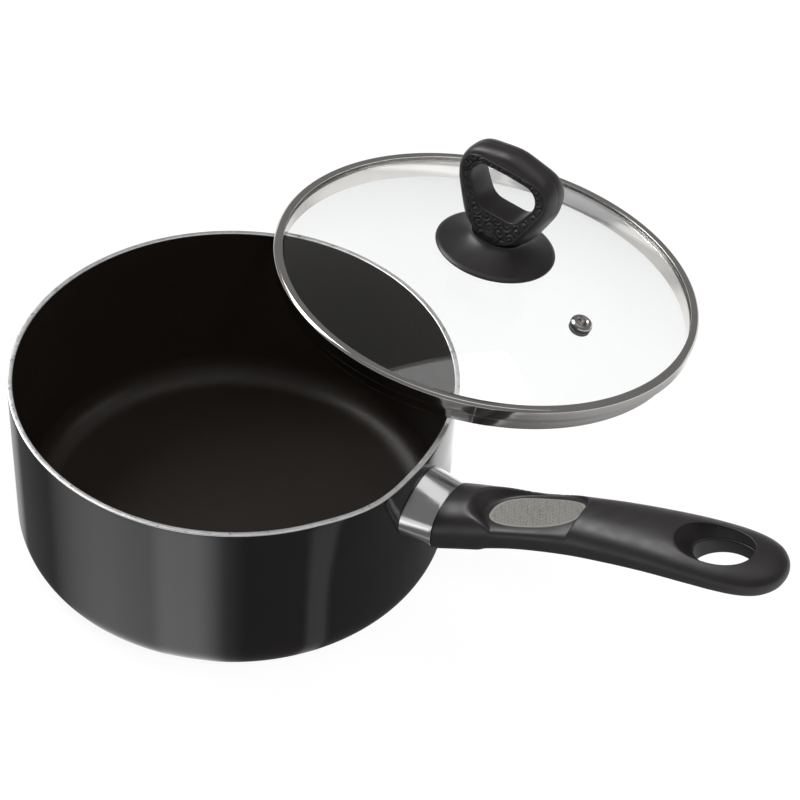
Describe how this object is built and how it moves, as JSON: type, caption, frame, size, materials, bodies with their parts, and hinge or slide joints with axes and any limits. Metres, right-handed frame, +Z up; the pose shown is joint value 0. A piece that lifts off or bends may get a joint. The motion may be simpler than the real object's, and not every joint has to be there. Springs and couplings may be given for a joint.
{
  "type": "saucepan with glass lid",
  "caption": "Round nonstick saucepan with one long moulded grip handle and a domed glass lid with a loop knob, set down tilted beside its rim.",
  "frame": {"origin": "centre of the pan's base underside, on the surface it stands on", "axes": "+Z up, +X from the pan's axis along the handle, +Y to the left of the handle seen from above with the handle pointing away"},
  "size_m": [0.3862, 0.3335, 0.17],
  "materials": {
    "pan_shell": "dark glossy coating outside, fine nonstick coating inside, bare bright rim",
    "polished_steel": "polished",
    "steel_hardware": "plain",
    "black_grip": "satin",
    "grey_pad": "matte, embossed",
    "clear_glass": "clear",
    "silicone": "matte",
    "brass_insert": "plain"
  },
  "bodies": {
    "pan": {"pan_body": "pan_shell", "weld_studs": "steel_hardware", "stud_nuts": "steel_hardware", "bracket": "steel_hardware", "ferrule": "polished_steel", "handle_body": "black_grip", "grip_insert": "grey_pad", "handle_screw": "steel_hardware"},
    "lid": {"rim_band": "polished_steel", "lid_glass": "clear_glass", "vent_eyelet": "polished_steel", "vent_seal": "silicone", "knob_base": "black_grip", "knob_ring": "black_grip", "knob_insert": "brass_insert", "knob_screw": "steel_hardware", "knob_washer": "steel_hardware", "upper_gasket": "silicone", "lower_gasket": "silicone"}
  },
  "joints": [
    {"name": "lid_lift", "type": "slide", "parent": "pan", "child": "lid", "axis": [0, 0, 1], "range_m": [0, 0.12]}
  ]
}
